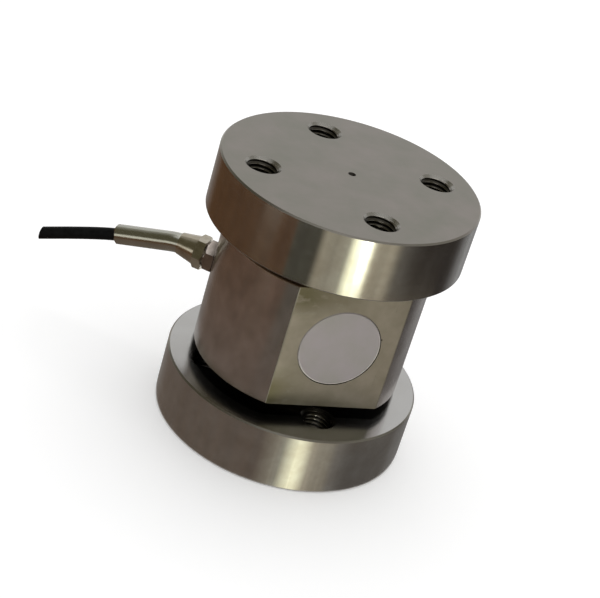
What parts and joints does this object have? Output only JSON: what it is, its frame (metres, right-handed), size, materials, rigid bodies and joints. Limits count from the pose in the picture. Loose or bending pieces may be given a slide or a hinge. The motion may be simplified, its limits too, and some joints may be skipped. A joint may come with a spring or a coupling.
{
  "type": "column load cell",
  "caption": "Steel column load cell: a waisted column with flats and round gauge covers between two round flanges with tapped holes, and a side cable gland with a short cable.",
  "frame": {"origin": "centre of the lower flange's bolting face", "axes": "+Z along the load axis to the upper flange, -Y out of the front cover, the cable gland on the -X +Y side"},
  "size_m": [0.1432, 0.1211, 0.11],
  "materials": {
    "element_steel": "ground end faces, turned rims and a satin column",
    "cover_steel": "fine matt",
    "seal_rubber": "matt",
    "gauge_film": "film",
    "board_laminate": "satin",
    "resistor_ceramic": "matt",
    "lead_copper": "enamelled",
    "gland_nickel": "nickel plated",
    "sleeve_steel": "polished",
    "jacket_black": "slightly glossy",
    "shield_braid": "tinned braid",
    "core_red": "satin",
    "core_black": "satin",
    "core_green": "satin",
    "core_white": "satin"
  },
  "bodies": {
    "root": {"spring_element": "element_steel", "front_cover": "cover_steel", "rear_cover": "cover_steel", "front_cover_seal": "seal_rubber", "rear_cover_seal": "seal_rubber", "front_axial_gauge": "gauge_film", "front_cross_gauge": "gauge_film", "rear_axial_gauge": "gauge_film", "rear_cross_gauge": "gauge_film", "front_terminal_strip": "board_laminate", "bridge_board": "board_laminate", "trim_resistors": "resistor_ceramic", "front_gauge_leads": "lead_copper", "rear_gauge_leads": "lead_copper", "crossover_leads": "lead_copper", "gland_ring": "seal_rubber", "gland_body": "gland_nickel", "gland_grommet": "seal_rubber", "thrust_washer": "gland_nickel", "gland_nut": "gland_nickel", "strain_sleeve": "sleeve_steel", "cable_jacket": "jacket_black", "cable_shield": "shield_braid", "core_red": "core_red", "core_black": "core_black", "core_green": "core_green", "core_white": "core_white"}
  },
  "joints": []
}
